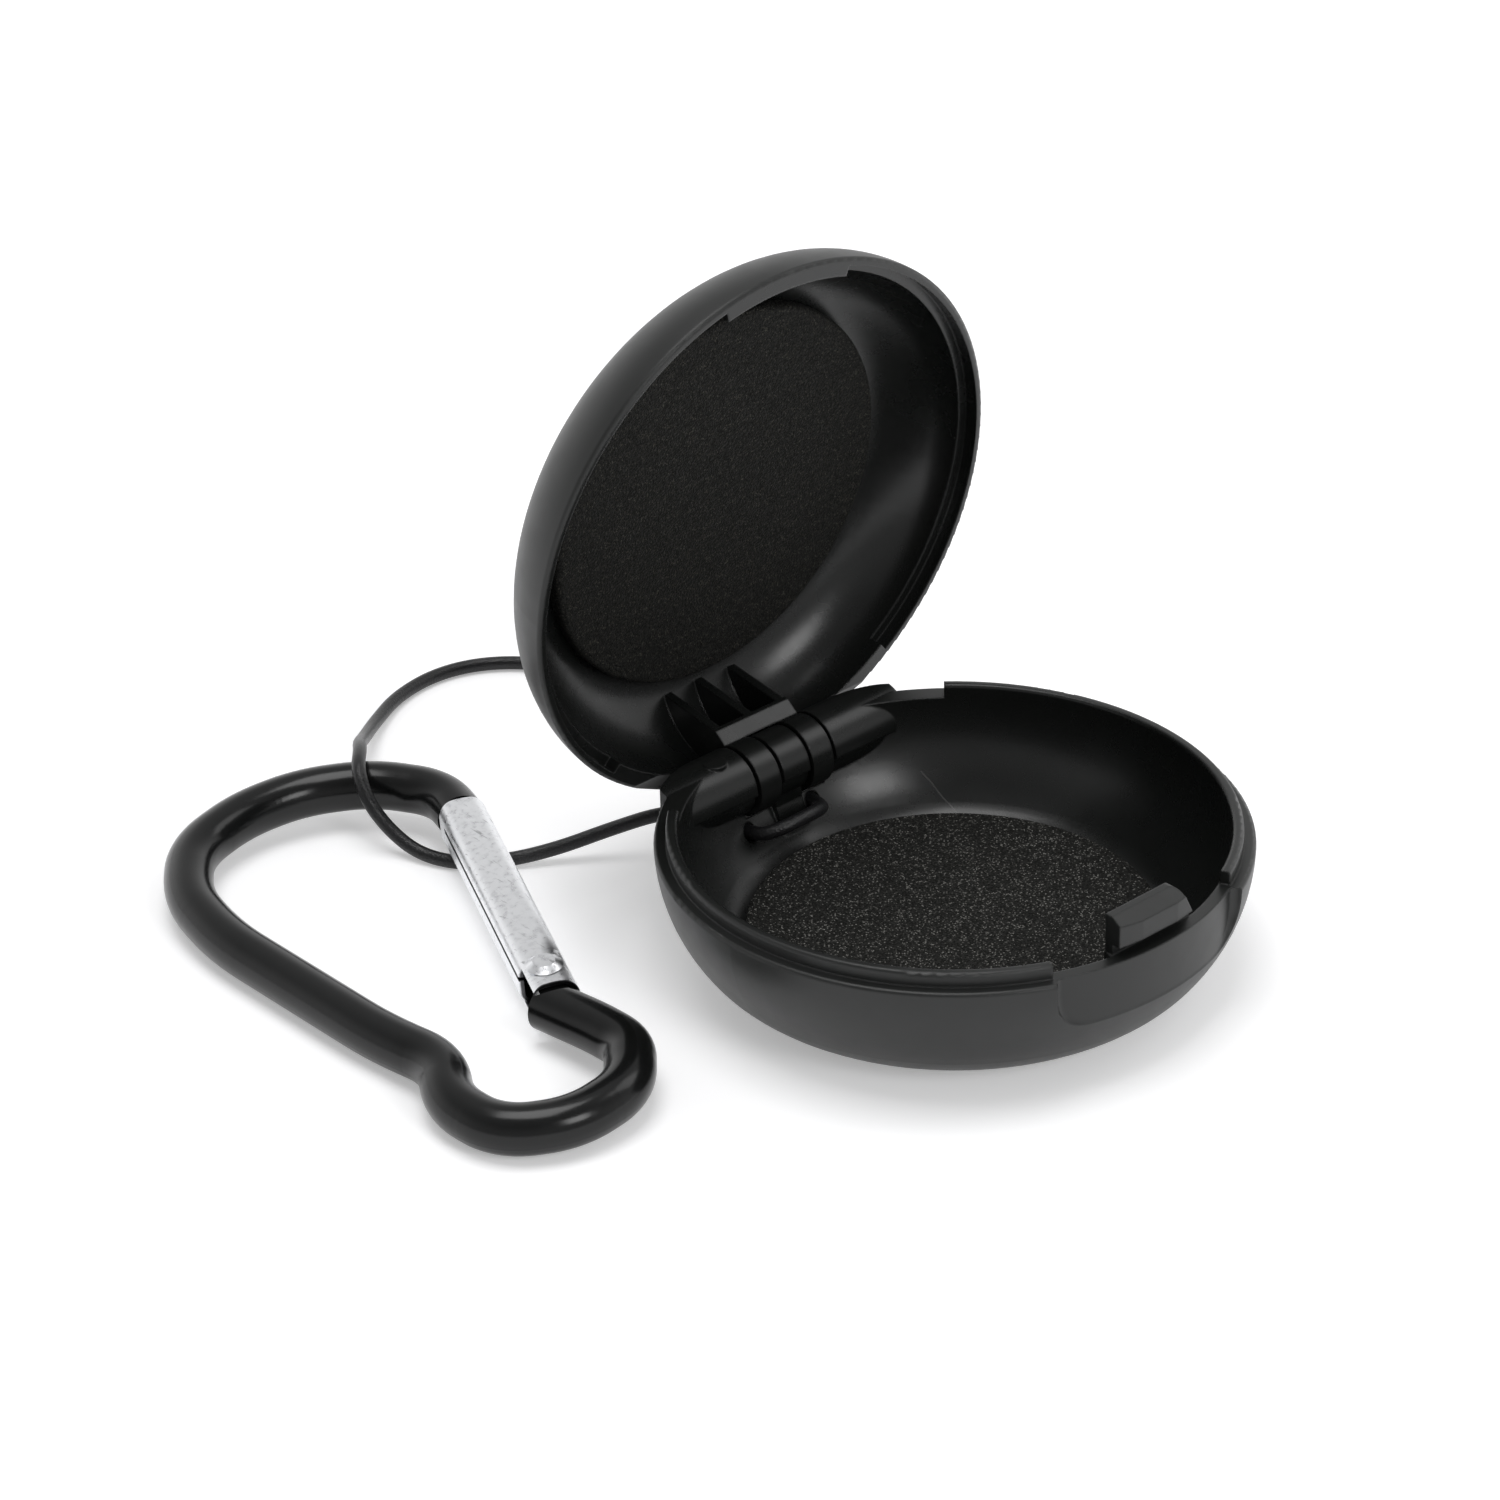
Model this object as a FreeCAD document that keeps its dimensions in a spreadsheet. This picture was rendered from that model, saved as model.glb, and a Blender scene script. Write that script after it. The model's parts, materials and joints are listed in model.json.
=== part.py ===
import FreeCAD
import Part
import Sketcher
import math
import os
import re

# Driving sizes in millimetres and degrees. The hinge axis runs along X at the back (+Y),
# the latch is at the front (-Y) and the case stands on its foot at the origin.
SIZES = {
    # Base shell
    "rim_radius": 30.0,
    "rim_height": 13.73,
    "wall_arc": 17.0,
    "foot_arc": 9.0,
    "base_wall": 2.4,
    "base_floor": 2.0,
    "floor_corner": 5.0,
    "edge_round": 0.4,
    # Raised lip on both sides of the base rim
    "lip_inset": 1.25,
    "lip_thick": 1.15,
    "lip_height": 1.5,
    "lip_back_angle": 48.0,
    "lip_front_angle": -64.8,
    # Finger scoop under the latch
    "scoop_depth": 1.1,
    "scoop_height": 6.4,
    "scoop_angle": 50.0,
    "scoop_corner": 4.4,
    "scoop_round": 0.8,
    # Latch hook
    "hook_left": -5.2,
    "hook_width": 10.6,
    "hook_slant": 1.9,
    "stem_inset": 3.0,
    "stem_thick": 1.0,
    "hook_gap": 1.17,
    "hook_bite": 1.3,
    "hook_face": 2.1,
    "hook_slope": 1.0,
    "hook_crest": 0.8,
    "hook_relief": 0.1,
    "hook_sink": 1.65,
    "hook_root": 5.0,
    "root_cover": 0.3,
    "root_angle": 22.5,
    # Lid shell, sizes as it lies closed
    "seam_gap": 0.08,
    "lid_crown": 11.0,
    "crown_rise": 0.5,
    "lid_wall": 2.0,
    "lid_roof": 2.1,
    "lid_corner": 8.5,
    "rebate_gap": 0.35,
    "rebate_depth": 1.65,
    "rebate_back_angle": 49.5,
    "rebate_front_angle": -73.9,
    "catch_ridge": 1.05,
    "catch_depth": 0.6,
    "catch_face": 2.3,
    "catch_height": 4.2,
    "catch_side": 0.5,
    "open_angle": 82.16,
    # Hinge
    "axis_inset": 2.9,
    "axis_drop": 3.43,
    "knuckle_radius": 3.85,
    "under_radius": 3.4,
    "middle_radius": 3.65,
    "middle_under": 3.3,
    "swing_gap": 0.2,
    "barrel_half": 16.0,
    "barrel_trim": 0.8,
    "left_knuckle": 5.4,
    "right_knuckle": 5.6,
    "middle_left": -1.5,
    "middle_width": 3.6,
    "lid_knuckle": 2.8,
    "side_gap": 0.3,
    "pin_radius": 0.9,
    "pin_inset": 0.4,
    "pin_blind": 1.8,
    "press_gap": 0.01,
    "running_gap": 0.06,
    "arm_top": 0.82,
    "arm_thick": 1.1,
    "arm_edge": 0.5,
    "arm_reach": 4.1,
    "arm_angle": 35.0,
    "rib_thick": 1.0,
    "rib_spread": 4.4,
    # Web under the middle knuckle, room behind for the lid, and the moulding gate's mark
    "web_front": 2.2,
    "web_rise": 1.5,
    "web_root": 0.75,
    "web_back": 1.45,
    "web_drop": 2.75,
    "sweep_drop": 1.9,
    "mark_across": 8.4,
    "mark_front": 0.6,
    "mark_radius": 1.3,
    "mark_sink": 1.2,
    "mark_rise": 0.05,
    # Cord holes through the back wall
    "hole_left": 5.6,
    "hole_right": 3.6,
    "hole_drop": 4.8,
    "hole_gap": 0.15,
    "cord_radius": 0.75,
    # Foam pads
    "base_pad_reach": 1.15,
    "base_pad_thick": 1.8,
    "lid_pad_reach": 2.0,
    "lid_pad_thick": 2.0,
    "pad_seat": 0.35,
    # Carabiner
    "wire_radius": 2.58,
    "spine_offset": -54.5,
    "ring_tilt": 3.2,
    "ring_lift": 0.12,
    "rivet_across": 16.8,
    "rivet_along": 18.9,
    "gate_angle": -24.4,
    "gate_reach": 33.0,
    "gate_heel": 3.8,
    "gate_width": 5.0,
    "gate_height": 4.9,
    "gate_sheet": 0.5,
    "gate_round": 1.5,
    "seam_width": 0.4,
    "seam_start": 2.5,
    "heel_opening": 0.9,
    "heel_gap": 0.2,
    "nose_sweep": 60.0,
    "gate_nose_gap": 0.35,
    "tongue_gap": 0.3,
    "tongue_side": 1.5,
    "tongue_length": 5.3,
    "rivet_radius": 1.0,
    "rivet_head": 1.9,
    "rivet_flat": 1.15,
    "rivet_cap": 0.55,
    "spring_radius": 1.25,
    "spring_wire": 0.18,
    "spring_turns": 7.0,
    "spring_start": 2.1,
    "spring_length": 8.0,
}

# Places that follow other sizes
TIED = {
    "arc_centre": "rim_radius - wall_arc",
    "inner_arc": "wall_arc - base_wall",
    "floor_rise": "rim_height - base_floor - floor_corner",
    "floor_span": "sqrt((inner_arc - floor_corner)^2 - floor_rise^2)",
    "foot_span": "sqrt((wall_arc - foot_arc)^2 - (rim_height - foot_arc)^2)",
    "lip_radius": "rim_radius - lip_inset",
    "hook_stem": "rim_radius - stem_inset",
    "hook_back": "hook_stem - stem_thick",
    "hook_top": "rim_height + hook_gap + hook_face + hook_slope",
    "root_radius": "hook_back + root_cover",
    "axis_back": "rim_radius - axis_inset",
    "axis_height": "rim_height - axis_drop",
    "pin_right": "sqrt((rim_radius + barrel_trim - pin_inset)^2 - axis_back^2)",
    "pin_left": "pin_right - pin_blind",
    "hole_height": "axis_height - hole_drop",
    "lid_inside": "rim_radius - lid_wall",
    "arm_front": "axis_back - arm_reach",
    "base_pad_radius": "arc_centre + floor_span + base_pad_reach",
    "lid_pad_radius": "lid_inside - lid_corner + lid_pad_reach",
    "heel_sweep": "sqrt(gate_width^2 / 4 + gate_heel^2) + heel_gap",
}

doc = FreeCAD.newDocument("earplug_case")
sheet = doc.addObject("Spreadsheet::Sheet", "sheet")
for row, (alias, amount) in enumerate(SIZES.items(), start=1):
    sheet.set(f"A{row}", alias)
    sheet.set(f"B{row}", str(amount))
    sheet.setAlias(f"B{row}", alias)
doc.recompute()

Vector = FreeCAD.Vector
UP = Vector(0, 0, 1)
RIGHT = Vector(1, 0, 0)
BACK = Vector(0, 1, 0)


# Sizes by name

def place_or_size(word):
    name = word.group()
    return f"({link(TIED[name])})" if name in TIED else f"sheet.{name}"


def link(text):
    """The text with every named place worked out and every named size read from the sheet."""
    return re.sub(r"[a-z]+(?:_[a-z]+)+", place_or_size, text)


def size(text):
    """The number that a text of named sizes gives."""
    return float(sheet.evalExpression(link(text)))


def bind(item, prop, text):
    """Tie a property of an object to named sizes."""
    item.setExpression(prop, link(text))


# Sketches and features

def origin_plane(body, role):
    return next(item for item in body.Origin.OriginFeatures if item.Role == role)


def new_sketch(body, name, role, offset="0", turn=None):
    """A sketch on an origin plane, moved along its normal or turned about its upright axis."""
    sketch = body.newObject("Sketcher::SketchObject", name)
    sketch.AttachmentSupport = [(origin_plane(body, role), "")]
    sketch.MapMode = "FlatFace"
    if turn is None:
        bind(sketch, "AttachmentOffset.Base.z", offset)
    else:
        sketch.AttachmentOffset = FreeCAD.Placement(Vector(), FreeCAD.Rotation(BACK, size(turn)))
        bind(sketch, "AttachmentOffset.Rotation.Angle", turn)
    return sketch


def hold(sketch, edge, end, across, along):
    """Fix one end of an edge at named distances from the sketch's origin."""
    for kind, text in (("DistanceX", across), ("DistanceY", along)):
        number = sketch.addConstraint(Sketcher.Constraint(kind, -1, 1, edge, end, size(text)))
        bind(sketch, f"Constraints[{number}]", text)


def arc_edge(start, end, radius):
    """An arc from start to end that turns left round its centre when the radius is positive."""
    chord = end - start
    middle = (start + end) * 0.5
    side = Vector(-chord.y, chord.x, 0).normalize()
    reach = math.sqrt(max(radius * radius - chord.Length ** 2 / 4, 0))
    centre = middle + side * math.copysign(reach, radius)
    first, last = (start, end) if radius > 0 else (end, start)
    angles = [math.atan2(point.y - centre.y, point.x - centre.x) for point in (first, last)]
    return Part.ArcOfCircle(Part.Circle(centre, UP, abs(radius)), *angles)


def outline(body, name, role, corners, **place):
    """A closed sketch. A corner's third text is the radius of the arc that leaves it."""
    sketch = new_sketch(body, name, role, **place)
    points = [Vector(size(corner[0]), size(corner[1]), 0) for corner in corners]
    ends = []
    for number, corner in enumerate(corners):
        start = points[number]
        end = points[(number + 1) % len(points)]
        if len(corner) == 3:
            radius = size(corner[2])
            edge = sketch.addGeometry(arc_edge(start, end, radius), False)
            ends.append((1, 2) if radius > 0 else (2, 1))
            fixed = sketch.addConstraint(Sketcher.Constraint("Radius", edge, abs(radius)))
            bind(sketch, f"Constraints[{fixed}]", f"abs({corner[2]})")
        else:
            sketch.addGeometry(Part.LineSegment(start, end), False)
            ends.append((1, 2))
    for number, corner in enumerate(corners):
        after = (number + 1) % len(corners)
        hold(sketch, number, ends[number][0], corner[0], corner[1])
        sketch.addConstraint(
            Sketcher.Constraint("Coincident", number, ends[number][1], after, ends[after][0]))
    return sketch


def disc(body, name, role, across, along, radius, **place):
    """A sketch of one circle."""
    sketch = new_sketch(body, name, role, **place)
    centre = Vector(size(across), size(along), 0)
    sketch.addGeometry(Part.Circle(centre, UP, size(radius)), False)
    hold(sketch, 0, 3, across, along)
    number = sketch.addConstraint(Sketcher.Constraint("Radius", 0, size(radius)))
    bind(sketch, f"Constraints[{number}]", radius)
    return sketch


def turned(body, name, sketch, angle="360", cut=False):
    """The sketch revolved about its upright axis, evenly to both sides of its plane."""
    kind = "PartDesign::Groove" if cut else "PartDesign::Revolution"
    feature = body.newObject(kind, name)
    feature.Profile = sketch
    feature.ReferenceAxis = (sketch, ["V_Axis"])
    feature.Midplane = True
    bind(feature, "Angle", angle)
    return feature


def raised(body, name, sketch, length):
    """The sketch raised along its normal."""
    feature = body.newObject("PartDesign::Pad", name)
    feature.Profile = sketch
    bind(feature, "Length", length)
    return feature


def sunk(body, name, sketch, length, along_normal=True):
    """The sketch cut out of the body, along its normal or against it."""
    feature = body.newObject("PartDesign::Pocket", name)
    feature.Profile = sketch
    feature.Reversed = along_normal
    bind(feature, "Length", length)
    return feature


def new_body(name):
    body = doc.addObject("PartDesign::Body", name)
    body.Label = name
    return body


# Base shell: a turned dish with a lip, finger scoop, latch hook and hinge knuckles

OUTER_SHARE = "wall_arc / (wall_arc - foot_arc)"
INNER_SHARE = "inner_arc / (inner_arc - floor_corner)"
EDGE_MATCH = 0.01
BACK_OF_KNUCKLE = "axis_back + knuckle_radius"
SLOT_RADIUS = "knuckle_radius + swing_gap"
SLOT_LEFT = "-(left_knuckle)"
SLOT_WIDTH = "left_knuckle + right_knuckle"


def parted_round(body, name, above, below, offset):
    """A barrel's section round the hinge axis, wider above the mould's parting plane."""
    return outline(body, name, "YZ_Plane", [
        (f"axis_back + {above}", "axis_height", above),
        ("axis_back", f"axis_height + {above}", above),
        (f"axis_back - {above}", "axis_height"),
        (f"axis_back - {below}", "axis_height", below),
        ("axis_back", f"axis_height - {below}", below),
        (f"axis_back + {below}", "axis_height"),
    ], offset=offset)


def make_scoop_cutter():
    """The shape that the finger scoop takes out, with round lower corners and soft inner edges."""
    body = new_body("scoop_cutter")
    section = outline(body, "scoop_section", "XZ_Plane", [
        ("rim_radius - scoop_depth", "rim_height - scoop_height"),
        ("rim_radius + scoop_depth", "rim_height - scoop_height"),
        ("rim_radius + scoop_depth", "rim_height + lip_height"),
        ("rim_radius - scoop_depth", "rim_height + lip_height"),
    ], turn="-90")
    turned(body, "scoop_ring", section, "scoop_angle")
    doc.recompute()
    low = size("rim_height - scoop_height")
    corners = [f"Edge{number}" for number, edge in enumerate(body.Tip.Shape.Edges, start=1)
               if edge.Curve.TypeId == "Part::GeomLine" and edge.BoundBox.ZMax < low + EDGE_MATCH]
    ring = body.Tip
    corner_round = body.newObject("PartDesign::Fillet", "scoop_corners")
    corner_round.Base = (ring, corners)
    bind(corner_round, "Radius", "scoop_corner")
    doc.recompute()
    inner = size("rim_radius - scoop_depth")
    top = size("rim_height + lip_height")
    soft = []
    for number, edge in enumerate(body.Tip.Shape.Edges, start=1):
        reaches = [math.hypot(vertex.X, vertex.Y) for vertex in edge.Vertexes]
        at_face = all(abs(reach - inner) < EDGE_MATCH for reach in reaches)
        if at_face and edge.BoundBox.ZMin < top - EDGE_MATCH:
            soft.append(f"Edge{number}")
    rounding = body.newObject("PartDesign::Fillet", "scoop_soft_edges")
    rounding.Base = (corner_round, soft)
    bind(rounding, "Radius", "scoop_round")
    doc.recompute()
    return body


def make_base_shell():
    body = new_body("base_shell")
    dish = outline(body, "dish_section", "XZ_Plane", [
        ("0", "0"),
        ("arc_centre + foot_span", "0", "foot_arc"),
        (f"arc_centre + foot_span * {OUTER_SHARE}",
         f"rim_height - (rim_height - foot_arc) * {OUTER_SHARE}", "wall_arc"),
        ("arc_centre + sqrt(wall_arc^2 - edge_round^2)", "rim_height - edge_round",
         "edge_round"),
        ("rim_radius - edge_round", "rim_height"),
        ("rim_radius - base_wall", "rim_height", "-inner_arc"),
        (f"arc_centre + floor_span * {INNER_SHARE}",
         f"rim_height - floor_rise * {INNER_SHARE}", "-floor_corner"),
        ("arc_centre + floor_span", "base_floor"),
        ("0", "base_floor"),
    ])
    turned(body, "dish", dish)

    for side, azimuth in (("right", "(lip_back_angle + lip_front_angle) / 2"),
                          ("left", "180 - (lip_back_angle + lip_front_angle) / 2")):
        section = outline(body, f"lip_section_{side}", "XZ_Plane", [
            ("lip_radius - lip_thick", "rim_height - edge_round"),
            ("lip_radius", "rim_height - edge_round"),
            ("lip_radius", "rim_height + lip_height - edge_round", "edge_round"),
            ("lip_radius - edge_round", "rim_height + lip_height"),
            ("lip_radius - lip_thick + edge_round", "rim_height + lip_height", "edge_round"),
            ("lip_radius - lip_thick", "rim_height + lip_height - edge_round"),
        ], turn=azimuth)
        turned(body, f"lip_{side}", section, "lip_back_angle - lip_front_angle")

    root = outline(body, "hook_root_section", "XZ_Plane", [
        ("root_radius", "rim_height"),
        ("root_radius", "rim_height - hook_root / 2"),
        ("rim_radius - base_wall", "rim_height - hook_root"),
        ("rim_radius - base_wall / 2", "rim_height - hook_root"),
        ("rim_radius - base_wall / 2", "rim_height"),
    ], turn="-90")
    turned(body, "front_wall", root, "root_angle")

    scoop = body.newObject("PartDesign::Boolean", "finger_scoop")
    scoop.Type = "Cut"
    scoop.setObjects([make_scoop_cutter()])

    hook = outline(body, "hook_section", "YZ_Plane", [
        ("-hook_stem", "rim_height - hook_sink"),
        ("-hook_back", "rim_height - hook_sink"),
        ("-hook_back", "hook_top"),
        ("-hook_back - hook_crest", "hook_top"),
        ("-hook_stem - hook_bite", "rim_height + hook_gap + hook_face"),
        ("-hook_stem - hook_bite", "rim_height + hook_gap"),
        ("-hook_stem", "rim_height + hook_gap"),
    ], offset="hook_left")
    raised(body, "hook", hook, "hook_width")
    curve = outline(body, "hook_curve_section", "XZ_Plane", [
        ("hook_stem + hook_bite + hook_relief", "rim_height + hook_gap / 2"),
        ("rim_radius", "rim_height + hook_gap / 2"),
        ("rim_radius", "rim_height + hook_width"),
        ("hook_stem + hook_bite + hook_relief", "rim_height + hook_width"),
    ], turn="-90")
    turned(body, "hook_curve", curve, "root_angle", cut=True)
    slant = outline(body, "hook_slant_section", "XZ_Plane", [
        ("hook_left + hook_width", "rim_height"),
        ("hook_left + hook_width + hook_slant", "rim_height"),
        ("hook_left + hook_width + hook_slant", "hook_top + hook_slant"),
        ("hook_left + hook_width - hook_slant - hook_crest", "hook_top + hook_slant"),
        ("hook_left + hook_width - hook_slant - hook_crest", "hook_top", "-hook_crest"),
        ("hook_left + hook_width - hook_slant", "hook_top - hook_crest"),
    ], offset="hook_back - stem_thick")
    sunk(body, "hook_end", slant, "rim_radius")

    slot = disc(body, "slot_section", "YZ_Plane", "axis_back", "axis_height", SLOT_RADIUS,
                offset=SLOT_LEFT)
    sunk(body, "lid_knuckle_slot", slot, SLOT_WIDTH)
    sweep_reach = "sqrt((rim_radius - axis_back)^2 + (rim_height - axis_height)^2)"
    back_sweep = outline(body, "lid_sweep_section", "YZ_Plane", [
        ("axis_back", "axis_height - sweep_drop"),
        (f"axis_back + {sweep_reach} + 2 * swing_gap", "axis_height - sweep_drop"),
        (f"axis_back + {sweep_reach} + 2 * swing_gap", "rim_height + lip_height"),
        ("axis_back", "rim_height + lip_height"),
    ], offset=SLOT_LEFT)
    sunk(body, "lid_wall_sweep", back_sweep, SLOT_WIDTH)

    for name, start, length in (("left", "-barrel_half", "barrel_half - left_knuckle"),
                                ("right", "right_knuckle", "barrel_half - right_knuckle")):
        section = parted_round(body, f"knuckle_section_{name}", "knuckle_radius", "under_radius",
                               start)
        raised(body, f"knuckle_{name}", section, length)
    mark = disc(body, "mark_section", "XY_Plane", "-mark_across", "axis_back - mark_front",
                "mark_radius", offset="axis_height + knuckle_radius - mark_sink")
    raised(body, "gate_mark", mark, "mark_sink + mark_rise")
    trim = outline(body, "barrel_trim_section", "XZ_Plane", [
        ("rim_radius + barrel_trim", "0"),
        ("rim_radius + 2 * knuckle_radius", "0"),
        ("rim_radius + 2 * knuckle_radius", "rim_height + lip_height"),
        ("rim_radius + barrel_trim", "rim_height + lip_height"),
    ], turn="90")
    turned(body, "barrel_trim", trim, cut=True)

    corner = outline(body, "rim_notch_section", "YZ_Plane", [
        (BACK_OF_KNUCKLE, "axis_height", "knuckle_radius"),
        ("axis_back", "axis_height + knuckle_radius"),
        ("axis_back", "rim_height + lip_height"),
        (f"{BACK_OF_KNUCKLE} + knuckle_radius", "rim_height + lip_height"),
        (f"{BACK_OF_KNUCKLE} + knuckle_radius", "axis_height"),
    ], offset="-barrel_half")
    sunk(body, "rim_notch", corner, "2 * barrel_half")

    post = outline(body, "web_section", "YZ_Plane", [
        ("axis_back - web_front", "axis_height"),
        ("axis_back - web_front", "axis_height - middle_radius"),
        ("axis_back - middle_radius", "base_floor + web_rise"),
        ("axis_back - web_root", "base_floor + web_rise"),
        ("axis_back + web_back", "axis_height - web_drop"),
        ("axis_back + web_front", "axis_height"),
    ], offset="middle_left")
    raised(body, "middle_web", post, "middle_width")
    middle = parted_round(body, "middle_section", "middle_radius", "middle_under", "middle_left")
    raised(body, "knuckle_middle", middle, "middle_width")

    bore = disc(body, "bore_section", "YZ_Plane", "axis_back", "axis_height",
                "pin_radius + press_gap", offset="-pin_left - press_gap")
    sunk(body, "pin_bore", bore, "pin_left + rim_radius")

    for name, across in (("left", "-hole_left"), ("right", "hole_right")):
        hole = disc(body, f"hole_section_{name}", "XZ_Plane", across, "hole_height",
                    "cord_radius + hole_gap")
        sunk(body, f"cord_hole_{name}", hole, "rim_radius + knuckle_radius", along_normal=False)
    return body


# Lid shell: modelled closed and swung open about the hinge axis

SEAM = "(rim_height + seam_gap)"
ROOF = f"({SEAM} + lid_crown + crown_rise - lid_roof)"
CROWN_ARC = "(((rim_radius - lid_crown)^2 + crown_rise^2) / (2 * crown_rise))"
ARM_TOP = "(rim_height + arm_top)"
RIB_ARC = "(lid_crown - lid_roof / 2)"
KNUCKLE_START_LEFT = "(middle_left - 2 * side_gap - lid_knuckle)"
KNUCKLE_START_RIGHT = "(middle_left + middle_width + side_gap)"


def swing_open(item):
    """Turn a piece that was modelled closed to the lid's open place."""
    item.Placement = FreeCAD.Placement(Vector(), FreeCAD.Rotation(RIGHT, -size("open_angle")))
    bind(item, "Placement.Rotation.Angle", "-open_angle")
    bind(item, "Placement.Base.y",
         "axis_back - axis_back * cos(open_angle) - axis_height * sin(open_angle)")
    bind(item, "Placement.Base.z",
         "axis_height + axis_back * sin(open_angle) - axis_height * cos(open_angle)")


def make_lid_shell():
    body = new_body("lid_shell")
    cap = outline(body, "cap_section", "XZ_Plane", [
        ("lid_inside", SEAM),
        ("rim_radius - edge_round", SEAM, "edge_round"),
        ("rim_radius - lid_crown + sqrt(lid_crown^2 - edge_round^2)", f"{SEAM} + edge_round",
         "lid_crown"),
        ("rim_radius - lid_crown", f"{SEAM} + lid_crown", CROWN_ARC),
        ("0", f"{SEAM} + lid_crown + crown_rise"),
        ("0", ROOF),
        ("lid_inside - lid_corner", ROOF, "-lid_corner"),
        ("lid_inside", f"{ROOF} - lid_corner"),
    ])
    turned(body, "cap", cap)

    for side, azimuth in (("right", "(rebate_back_angle + rebate_front_angle) / 2"),
                          ("left", "180 - (rebate_back_angle + rebate_front_angle) / 2")):
        section = outline(body, f"rebate_section_{side}", "XZ_Plane", [
            ("lid_inside - rebate_gap", "rim_height"),
            ("lip_radius + rebate_gap", "rim_height"),
            ("lip_radius + rebate_gap", "rim_height + rebate_depth"),
            ("lid_inside - rebate_gap", "rim_height + rebate_depth"),
        ], turn=azimuth)
        turned(body, f"rebate_{side}", section, "rebate_back_angle - rebate_front_angle", cut=True)

    catch = outline(body, "catch_section", "YZ_Plane", [
        ("-lid_inside - catch_depth", f"{SEAM} + catch_ridge"),
        ("-hook_back", f"{SEAM} + catch_ridge"),
        ("-hook_back", f"{SEAM} + catch_ridge + catch_height"),
        ("-hook_back - hook_crest - rebate_gap", f"{SEAM} + catch_ridge + catch_height"),
        ("-lid_inside - catch_depth", f"{SEAM} + catch_ridge + catch_face"),
    ], offset="hook_left - catch_side")
    sunk(body, "catch_pocket", catch, "hook_width + 2 * catch_side")

    barrel = disc(body, "barrel_section", "YZ_Plane", "axis_back", "axis_height", SLOT_RADIUS,
                  offset="-barrel_half - side_gap")
    sunk(body, "barrel_notch", barrel, "2 * barrel_half + 2 * side_gap")

    arm = outline(body, "arm_section", "YZ_Plane", [
        ("arm_front", f"{ARM_TOP} - arm_edge"),
        ("axis_back - knuckle_radius * cos(arm_angle)",
         "axis_height + knuckle_radius * sin(arm_angle)"),
        ("axis_back", "axis_height + knuckle_radius / 2"),
        ("lid_inside + lid_wall / 2", f"{ARM_TOP} - arm_thick"),
        ("lid_inside + lid_wall / 2", ARM_TOP),
        ("arm_front", ARM_TOP),
    ], offset=KNUCKLE_START_LEFT)
    raised(body, "arm", arm, "middle_width + 3 * side_gap + 2 * lid_knuckle")

    for name, start in (("left", KNUCKLE_START_LEFT), ("right", KNUCKLE_START_RIGHT)):
        section = disc(body, f"lid_knuckle_section_{name}", "YZ_Plane", "axis_back",
                       "axis_height", "knuckle_radius", offset=start)
        raised(body, f"lid_knuckle_{name}", section, "lid_knuckle")

    rib_front = f"sqrt({RIB_ARC}^2 - (arm_front - rim_radius + lid_crown)^2)"
    rib_back = f"sqrt({RIB_ARC}^2 - (lid_inside - rim_radius + lid_crown)^2)"
    for name, middle in (("left", "-rib_spread"), ("middle", "0"), ("right", "rib_spread")):
        section = outline(body, f"rib_section_{name}", "YZ_Plane", [
            ("arm_front", f"{ARM_TOP} - edge_round"),
            ("lid_inside", f"{ARM_TOP} - edge_round"),
            ("lid_inside", f"{SEAM} + {rib_back}", RIB_ARC),
            ("arm_front", f"{SEAM} + {rib_front}"),
        ], offset=f"{middle} - rib_thick / 2")
        raised(body, f"rib_{name}", section, "rib_thick")

    relief = disc(body, "relief_section", "YZ_Plane", "axis_back", "axis_height",
                  "middle_radius + swing_gap", offset="middle_left - 2 * side_gap")
    sunk(body, "middle_relief", relief, "middle_width + 3 * side_gap")
    bore = disc(body, "lid_bore_section", "YZ_Plane", "axis_back", "axis_height",
                "pin_radius + running_gap", offset=KNUCKLE_START_LEFT)
    sunk(body, "lid_bore", bore, "middle_width + 3 * side_gap + 2 * lid_knuckle")
    swing_open(body)
    return body


# Foam pads and the hinge pin

def make_base_pad():
    body = new_body("base_pad")
    top = "(base_floor + base_pad_thick)"
    section = outline(body, "base_pad_section", "XZ_Plane", [
        ("0", "base_floor"),
        ("arc_centre + floor_span - pad_seat", "base_floor"),
        ("base_pad_radius", "base_floor + pad_seat"),
        ("base_pad_radius", f"{top} - edge_round", "edge_round"),
        ("base_pad_radius - edge_round", top),
        ("0", top),
    ])
    turned(body, "base_foam", section)
    return body


def make_lid_pad():
    body = new_body("lid_pad")
    section = outline(body, "lid_pad_section", "XZ_Plane", [
        ("0", f"{ROOF} - lid_pad_thick"),
        ("lid_pad_radius - edge_round", f"{ROOF} - lid_pad_thick", "edge_round"),
        ("lid_pad_radius", f"{ROOF} - lid_pad_thick + edge_round"),
        ("lid_pad_radius", f"{ROOF} - 2 * pad_seat"),
        ("lid_inside - lid_corner", ROOF),
        ("0", ROOF),
    ])
    turned(body, "lid_foam", section)
    swing_open(body)
    return body


def make_hinge_pin():
    body = new_body("hinge_pin")
    section = disc(body, "pin_section", "YZ_Plane", "axis_back", "axis_height", "pin_radius",
                   offset="-pin_left")
    raised(body, "pin", section, "pin_left + pin_right")
    return body


# Carabiner: drawn flat with its spine on the upright axis, then laid down with a slight tilt

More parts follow.
